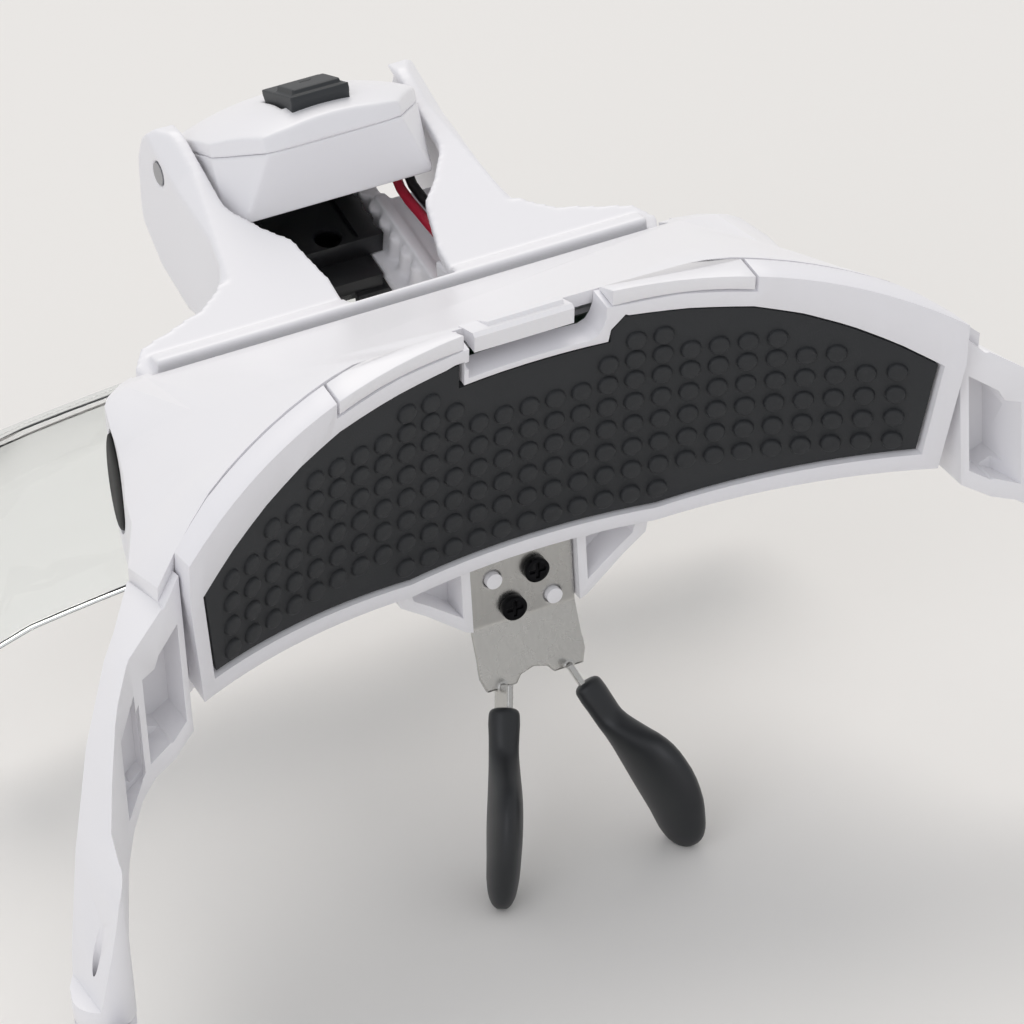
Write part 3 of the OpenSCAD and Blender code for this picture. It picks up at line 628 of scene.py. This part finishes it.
def pad_shape(x, y, z):
    """The pad's upper edge, moved from straight pieces to one curve."""
    spot = UNLEAN @ Vector((x, y, z))
    if spot.z > PAD_BASE and abs(x) > PAD_FLAT:
        cad, real = curve(CAD_PAD_TOP, abs(x)), curve(REAL_PAD_TOP, abs(x))
        spot.z = PAD_BASE + (spot.z - PAD_BASE) * (real - PAD_BASE) / (cad - PAD_BASE)
    return LEAN @ spot


def cover_shape(x, y, z):
    """The cover follows the rim's move at its upper edge and the pad's move round the pad."""
    spot = UNLEAN @ Vector((x, y, z))
    by_rim = UNLEAN @ rim_shape(x, y, z)
    if spot.z < PAD_BASE or abs(x) < PAD_FLAT:
        return LEAN @ by_rim
    by_pad = UNLEAN @ pad_shape(x, y, z)
    share = near(spot.z, curve(CAD_PAD_TOP, abs(x)) + OVER_PAD, curve(CAD_RIM, abs(x)) - UNDER_RIM)
    spot.z = by_pad.z * (1 - share) + by_rim.z * share
    return LEAN @ spot


print("rim falls", round(real_rim(0) - real_rim(50), 1), "mm towards an end")

# %% The oval and the rim's band
OVAL_CORNERS = 44
# Places of the real oval and of the solid's recess
OVAL = Matrix.Translation((44.2, 18.0, 14.9)) @ Matrix.Rotation(math.radians(8.5), 4, "Z")
CAD_OVAL = Matrix.Translation((47.4, 6.4, 21.6)) @ Matrix.Rotation(math.radians(13.5), 4, "Z")
# A band follows the rim in steps, reaches BAND_UP over it and goes THROUGH the brow along y
BAND_STEPS = 6
BAND_UP = 4
THROUGH = (-60, 40)


def ring(high, wide):
    """An oval of corners, wide across and high up, in mm."""
    turns = [2 * math.pi * k / OVAL_CORNERS for k in range(OVAL_CORNERS)]
    return [(wide / 2 * math.cos(t), high / 2 * math.sin(t)) for t in turns]


def rim_band(x0, x1, drop):
    """A block right through the rim, from x0 to x1 and from drop under the rim up to the air."""
    xs = [x0 + (x1 - x0) * k / BAND_STEPS for k in range(BAND_STEPS + 1)]
    low = [(x, real_rim(x) - drop) for x in xs]
    high = [(x, real_rim(x) + BAND_UP) for x in reversed(xs)]
    return block(low + high, "y", *THROUGH, LEAN)


print("oval has", len(ring(1, 1)), "corners")

# %% [markdown]
# ## The housing
# The housing's ends each carry an oval insert, further forward than the recess of the solid, so
# that recess is filled and a new one is cut. The arms are hollowed on the wearer's side by a scoop
# and a pocket, as thick plastic would sink while it cools.

# %% The housing
SCOOP = [(52.2, 18.6), (52.2, 5.0), (54.6, 3.6), (57.2, 4.6), (57.2, 12.8), (55.4, 16.4)]
POCKET = [(59, 11.6), (59, 2), (60.6, 0.6), (62, 1.6), (62, 7.6)]
SCOOP_SPAN, POCKET_SPAN = (-30, -13.6), (-34, -19.2)
PLUG, PLUG_SPAN = ring(13.2, 7.4), (-0.6, 2.12)
RECESS, RECESS_SPAN = ring(14.3, 8.1), (-1.7, 9)
STRIP = 3
housing_strips = [x for k in range(9, 19) for x in (STRIP * k, -STRIP * k)]
rounded("housing_shell", "brow_housing", "housing", WHITE_ABS, 0.3,
        adds=both(PLUG, "x", *PLUG_SPAN, CAD_OVAL), shape=brow_shape, slices=housing_strips,
        later=both(SCOOP, "y", *SCOOP_SPAN) + both(POCKET, "y", *POCKET_SPAN)
        + both(RECESS, "x", *RECESS_SPAN, OVAL))

# %% [markdown]
# ## The cover
# The cover hooks under the housing's two rim lips and over its latch bar. The lips are the parts
# of the cover's own rim that the cover leaves out, so that they share its curve. The bar is a
# wedge with a block on it, seen through the cover's notch.

# %% The latch bar and the rim lips
LATCH_BAR = [(-2, 35.5), (-2, 37.7), (-1.4, 38), (2.6, 38.6), (2.6, 35.5)]
LATCH_BLOCK = [(-1.6, 37), (-0.7, 38.7), (0.3, 39.3), (2.6, 39.3), (2.6, 37)]
BAR_SPAN, BLOCK_SPAN = (-7.7, 5.4), (-5.4, 4.5)
latch = carved(block(LATCH_BAR, "x", *BAR_SPAN, LEAN),
               [block(LATCH_BLOCK, "x", *BLOCK_SPAN, LEAN)], "UNION")
finished(round_edges(latch, 0.3, shape=under_deck), "latch_bar", None, "housing", WHITE_ABS,
         SHADE_ANGLE)
# A lip reaches LIP_DROP down, and the cover leaves out a little more, so that a seam shows
LIP_DROP, LIP_ROOM = 2.35, 2.5
for name, x0, x1 in (("rim_lip_r", 9.9, 27.2), ("rim_lip_l", -27.2, -9.6)):
    lip = carved(copied("battery_cover"), [rim_band(x0, x1, LIP_DROP)], "INTERSECT")
    finished(round_edges(lip, 0.2, shape=rim_shape), name, None, "housing", WHITE_ABS, SHADE_ANGLE)

# %% The cover and its pad
NOTCH = [(-8.9, 50), (-8.9, 32.7), (7.2, 32.7), (8.2, 33.2), (8.8, 34.2), (9.2, 35.6), (9.4, 50)]
rim_strips = [x for k in range(4, 17) for x in (STRIP * k, -STRIP * k)]
rounded("cover_shell", "battery_cover", "cover", COVER_ABS, 0.3, shape=cover_shape,
        slices=rim_strips,
        cuts=[rim_band(-27.6, 27.6, LIP_ROOM), block(NOTCH, "y", *THROUGH, LEAN)])
pad = rounded("pad", "forehead_pad", "cover", PAD_RUBBER, 0.25, shape=pad_shape,
              slices=rim_strips)

# %% The oval inserts
INSERT, INSERT_SPAN = ring(13.4, 7.2), (-1.6, 0.5)
for name, at in (("right", OVAL), ("left", FLIP @ OVAL)):
    cap = round_edges(block(INSERT, "x", *INSERT_SPAN, at), 0.4)
    finished(cap, "insert_" + name, "side_cap_" + name, "housing", GLOSS_INSERT, SHADE_ANGLE)

# %% [markdown]
# ## The nose pads
# Each nose pad is a silicone paddle moulded over the plate's lug: a round neck that widens to a
# flat oval end. It is lofted: rings of corners are bridged from the neck down to the end.

# %% Nose pads
NOSE = (Matrix.Translation((5.5, -4.4, -19.2)) @ Matrix.Rotation(math.radians(-3.6), 4, "Z")
        @ Matrix.Rotation(math.radians(-23.5), 4, "Y")
        @ Matrix.Rotation(math.radians(-29.6), 4, "X")
        @ Matrix.Rotation(math.radians(30), 4, "Z"))
# Of each ring: how far down it lies, half its thickness, half its width and its middle's offset
NOSE_RINGS = ((-0.5, 0.9, 0.8, -0.9), (-0.1, 1.75, 1.45, -0.9), (0.8, 1.95, 1.6, -0.9),
              (3, 1.9, 1.65, -0.95), (5, 1.87, 1.75, -1.0), (7.4, 1.95, 3.0, -2.05),
              (10.2, 2.1, 4.7, -3.3), (13.5, 2.2, 5.4, -3.6), (17.7, 2.1, 5.2, -3.0),
              (21.6, 1.85, 4.05, -1.45), (23.4, 1.3, 2.6, -1.0), (24.1, 0.6, 1.2, -0.9))
RING_CORNERS = 24
TABLE_Z = -38.3
for side, name in ((1, "right"), (-1, "left")):
    bm = bmesh.new()
    last = None
    for down, thick, half, middle in NOSE_RINGS:
        corners = bmesh.ops.create_circle(bm, segments=RING_CORNERS, radius=1.0)["verts"]
        size = Matrix.Translation((0, middle, -down)) @ Matrix.Diagonal((thick, half, 1, 1))
        bmesh.ops.transform(bm, matrix=NOSE @ size, verts=corners)
        edges = [e for v in corners for e in v.link_edges if e.verts[0] == v]
        if last:
            bmesh.ops.bridge_loops(bm, edges=last + edges)
        else:
            bmesh.ops.contextual_create(bm, geom=edges)
        last = edges
    bmesh.ops.contextual_create(bm, geom=last)
    bmesh.ops.subdivide_edges(bm, edges=bm.edges[:], cuts=2, smooth=0.6, use_grid_fill=True)
    for v in bm.verts:
        v.co.z = max(v.co.z, TABLE_Z)
        v.co.x *= side
        v.co = (v.co + SHIFT) * MM
    bmesh.ops.recalc_face_normals(bm, faces=bm.faces)
    mesh = bpy.data.meshes.new("nose_pad")
    bm.to_mesh(mesh)
    bm.free()
    finished(mesh, "nose_pad_" + name[0], "nose_pad_" + name, "housing", NOSE_RUBBER)

# %% The nose plate and its screws
softened("nose_plate", "nose_bracket", "housing", PLATE_STEEL, 0.14, 3)
rounded("plate_screws", "nose_screws", "housing", BLACK_SCREW, 0.12)

# %% [markdown]
# ## The lamp bracket and the lamp head
# Both are thin shells with rounded shoulders. The head's dome is higher and shorter than in the
# CAD solids, so its copies are moved point by point in the frame of the lamp's hinge.

# %% The bracket
# Air in front of and over the rounded ends of the two ears
EAR_TOP = [(60, 50), (60, 32.9), (62.4, 33.6), (65, 33.3), (67.3, 31.8), (69, 29.4), (69.9, 26),
           (80, 26), (80, 50)]
# A plane at 45 degrees along each arm's outer shoulder, and its run-out towards the foot
SHOULDER = (Matrix.Translation((18.8, 28.9, 18.0)) @ Matrix.Rotation(math.radians(21.8), 4, "X")
            @ Matrix.Rotation(math.radians(45), 4, "Y"))
SHOULDER_END = (SHOULDER @ Matrix.Translation((0, 30, 0))
                @ Matrix.Rotation(math.radians(-6.5), 4, "X"))
SHOULDER_CUT = [(-20, 30), (20, 30), (20, 74), (-20, 74)]
SHOULDER_END_CUT = [(-20, -18), (20, -18), (20, 0.1), (-20, 0.1)]
CUT_DEPTH = 20
# The raised rear edge of the foot, which closes the groove of the deck, and the opening above it
FOOT_EDGE = [(28.95, 19.2), (28.95, 22.2), (29.4, 22.6), (31.6, 22.2), (31.6, 19.2)]
FOOT_HALF = 33.6
OPENING = [(-7.2, 29.9), (7.2, 29.9), (7.6, 38), (-7.6, 38)]
softened("bracket", "lamp_bracket", "housing", WHITE_ABS, 0.3, 8, 0.6,
         adds=[block(FOOT_EDGE, "x", -FOOT_HALF, FOOT_HALF)],
         cuts=[block(EAR_TOP, "x", -40, 40), block(OPENING, "z", 12, 40)]
         + both(SHOULDER_CUT, "z", 0, CUT_DEPTH, SHOULDER)
         + both(SHOULDER_END_CUT, "z", 0, CUT_DEPTH, SHOULDER_END))
rounded("skirt_screws", "bracket_screws", "housing", SCREW_STEEL, 0.1)

# %% The lamp head
HEAD = Matrix.Translation((0, 62, 28.5)) @ Matrix.Rotation(math.radians(-19), 4, "X")
UNHEAD = HEAD.inverted()
# Above the seam the cover is a dome, curved along the head and on the real one also across it
SEAM_Z = 1.8
CAD_TOP, CAD_TOP_Y = 5.1, -10
REAL_TOP, REAL_TOP_Y = 6.5, -7
DOME_ALONG, DOME_ACROSS = 60, 38
# Behind REAR_Y the head gets shorter. Its rear face slopes, so it is read off by height.
REAR_Y = -7.4
CAD_REAR = ((-6.7, -12.5), (1.8, -20.8), (8, -21.4))
REAL_REAR = ((-6.7, -12.5), (1.8, -15.4), (8, -15.2))


def sag(radius, away):
    """How far an arc has fallen at a distance from its top."""
    return radius - math.sqrt(radius ** 2 - away ** 2)


def head_shape(x, y, z):
    """Where a point of the CAD head lies on the real one."""
    spot = UNHEAD @ Vector((x, y, z))
    if spot.z > SEAM_Z:
        cad = CAD_TOP - sag(DOME_ALONG, spot.y - CAD_TOP_Y)
        real = REAL_TOP - sag(DOME_ALONG, spot.y - REAL_TOP_Y) - sag(DOME_ACROSS, spot.x)
        spot.z = SEAM_Z + (spot.z - SEAM_Z) * (real - SEAM_Z) / (cad - SEAM_Z)
    if spot.y < REAR_Y:
        share = (curve(REAL_REAR, spot.z) - REAR_Y) / (curve(CAD_REAR, spot.z) - REAR_Y)
        spot.y = REAR_Y + (spot.y - REAR_Y) * share
    return HEAD @ spot


BUTTON_Y = -8.2
BUTTON_RISE = 1.2
BUTTON_LONGER = 0.1


def button_shape(x, y, z):
    """The button, raised with the dome and a little longer above its flange."""
    spot = UNHEAD @ Vector((x, y, z))
    spot.y = BUTTON_Y + (spot.y - BUTTON_Y) * (1 + BUTTON_LONGER * near(spot.z, 4.5, 5.5))
    spot.z += BUTTON_RISE
    return HEAD @ spot


softened("head_body", "lamp_body", "lamp", WHITE_ABS, 0.26, 10, shape=head_shape)
softened("head_cover", "lamp_cover", "lamp", WHITE_ABS, 0.26, 14, shape=head_shape)
softened("button", "switch_button", "button", BUTTON_RUBBER, 0.16, 8, shape=button_shape)

# %% [markdown]
# ## The wires
# The two wires are fixed in the bracket's channel and soldered inside the head, so they bend when
# the head tilts. Here they ride on no body.

# %% The wires
for node, finish in (("red_wire", RED_PVC), ("black_wire", BLACK_PVC)):
    lead = finished(copied(node), node + "_lead", node, None, finish, TUBE_ANGLE)
    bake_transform(lead)

# %% [markdown]
# ## The lens and the legs
# The lens plate hangs in a clip under a slide, and the legs fold at the arms' hinge pins. They are
# plain mouldings, so rounding is enough. The ear sleeves are silicone tubes pushed over the legs.

# %% The lens and its slide
rounded("slide_plate", "lens_carriage", "carriage", BLACK_ABS, 0.2)
rounded("clip", "lens_clip", "carriage", BLACK_ABS, 0.2)
rounded("slide_screw", "carriage_screw", "carriage", BLACK_SCREW, 0.1)
rounded("lens_plate", "lens", "lens_plate", LENS_ACRYLIC, 0.25)

# %% The legs and their sleeves
rounded("leg_l", "leg_left", "left_leg", LEG_NYLON, 0.5)
rounded("leg_r", "leg_right", "right_leg", LEG_NYLON, 0.5)
for side in ("left", "right"):
    softened("sleeve_" + side, "ear_sleeve_" + side, side + "_leg", NOSE_RUBBER, 0.4, 16)

# %% [markdown]
# ## The pad's grip
# The forehead pad is one silicone moulding with 27 columns of round studs. One stud is modelled
# with few faces, a short cone with a rounded rim, and it is copied along the pad's curve, because
# studs that stand out of the surface catch the light as a bump map can't.

# %% Place of a stud
# The brow's curve is a circle round FACE_AXIS, and PAD_FACE is its radius
FACE_AXIS = -99.6
PAD_FACE = 97.4


def on_face(along, up, out):
    """A place on the brow's curve: along it, up it and out towards the wearer, in mm."""
    angle = along / PAD_FACE
    spot = (Vector((0, FACE_AXIS, up))
            + (PAD_FACE - out) * Vector((math.sin(angle), math.cos(angle), 0)))
    turn = Matrix.Rotation(-angle, 4, "Z") @ Matrix.Rotation(math.radians(90), 4, "X")
    return Matrix.Translation(SHIFT * MM) @ LEAN @ Matrix.Translation(spot * MM) @ turn


# Height of each row up the pad
ROWS = (7.0, 10.9, 14.5, 18.1, 21.6, 25.0, 28.1, 31.0)


def rows_of(column):
    """First and last row of studs in a column, which follow the pad's outline."""
    far = abs(column)
    if far > 11:
        return 1, 4
    if far > 9:
        return 1, 5
    if far > 5:
        return 1, 6
    return 0, (7 if far > 3 else 6 if far == 3 else 5)


print("middle column of studs: rows", rows_of(0))

# %% One stud
# Radius at its foot and top, its height and the rounding of its rim
STUD_FOOT, STUD_TOP = 1.36, 1.22
STUD_HIGH = 0.6
STUD_RIM = 0.24
stud = bmesh.new()
bmesh.ops.create_cone(stud, cap_ends=True, segments=14, radius1=STUD_FOOT * MM,
                      radius2=STUD_TOP * MM, depth=STUD_HIGH * MM)
rim = [e for e in stud.edges if all(v.co.z > 0 for v in e.verts)]
bmesh.ops.bevel(stud, geom=rim, offset=STUD_RIM * MM, segments=2, profile=0.5, affect="EDGES",
                clamp_overlap=True, material=-1)
stud_mesh = bpy.data.meshes.new("stud")
stud.to_mesh(stud_mesh)
stud.free()
print("one stud:", len(stud_mesh.polygons), "faces")

# %% All studs
# The columns stand PITCH apart, a little wider towards the ends, and the rows rise there
LAST_COLUMN = 13
PITCH, WIDENING, PINCH = 3.4, 0.00068, 0.4
END_RISE = 0.9
PROUD = 0.22
grip = bmesh.new()
for column in range(-LAST_COLUMN, LAST_COLUMN + 1):
    along = (PITCH * column + WIDENING * column ** 3
             - PINCH * (1 - (column / LAST_COLUMN) ** 2))
    first, last = rows_of(column)
    for row in range(first, last + 1):
        up = ROWS[row] + END_RISE * (abs(column) / LAST_COLUMN) ** 4
        known = len(grip.verts)
        grip.from_mesh(stud_mesh)
        grip.verts.ensure_lookup_table()
        bmesh.ops.transform(grip, matrix=on_face(along, up, PROUD), verts=grip.verts[known:])
bpy.data.meshes.remove(stud_mesh)
grip_mesh = bpy.data.meshes.new("pad_studs")
grip.to_mesh(grip_mesh)
grip.free()
for p in grip_mesh.polygons:
    p.use_smooth = True
grip_mesh.set_sharp_from_angle(angle=math.radians(TUBE_ANGLE))
grip_mesh.materials.append(PAD_RUBBER)
studs = bpy.data.objects.new("pad_studs", grip_mesh)
bpy.context.scene.collection.objects.link(studs)
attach(studs, "cover")
print("studs:", len(grip_mesh.polygons), "faces")

# %% [markdown]
# ## The works inside and the pins
# Cells, contacts, switch and board are seen only through gaps, the lamp's window from below, and
# of the pins only the ends. Their solids stay as they are and get the finish of the real ones.

# %% Finishes of the solids that stay as they are
STAYS = {
    "cell_left": CELL_SLEEVE, "cell_right": CELL_SLEEVE, "cell_top": CELL_SLEEVE,
    "contact_plates": CONTACT_BRASS, "contact_leaves": CONTACT_BRASS, "switch_body": BLACK_ABS,
    "lamp_board": BOARD_MASK, "lamp_leds": LED_RESIN, "lamp_window": WINDOW_ACRYLIC,
    "lamp_pins": SCREW_STEEL,
    "hinge_pin_left": SCREW_STEEL, "hinge_pin_right": SCREW_STEEL}
for name, finish in STAYS.items():
    mesh = nodes[name].data
    mesh.materials.clear()
    mesh.materials.append(finish)
print("finished", len(STAYS), "solids")

# %% The end
print("scene built")
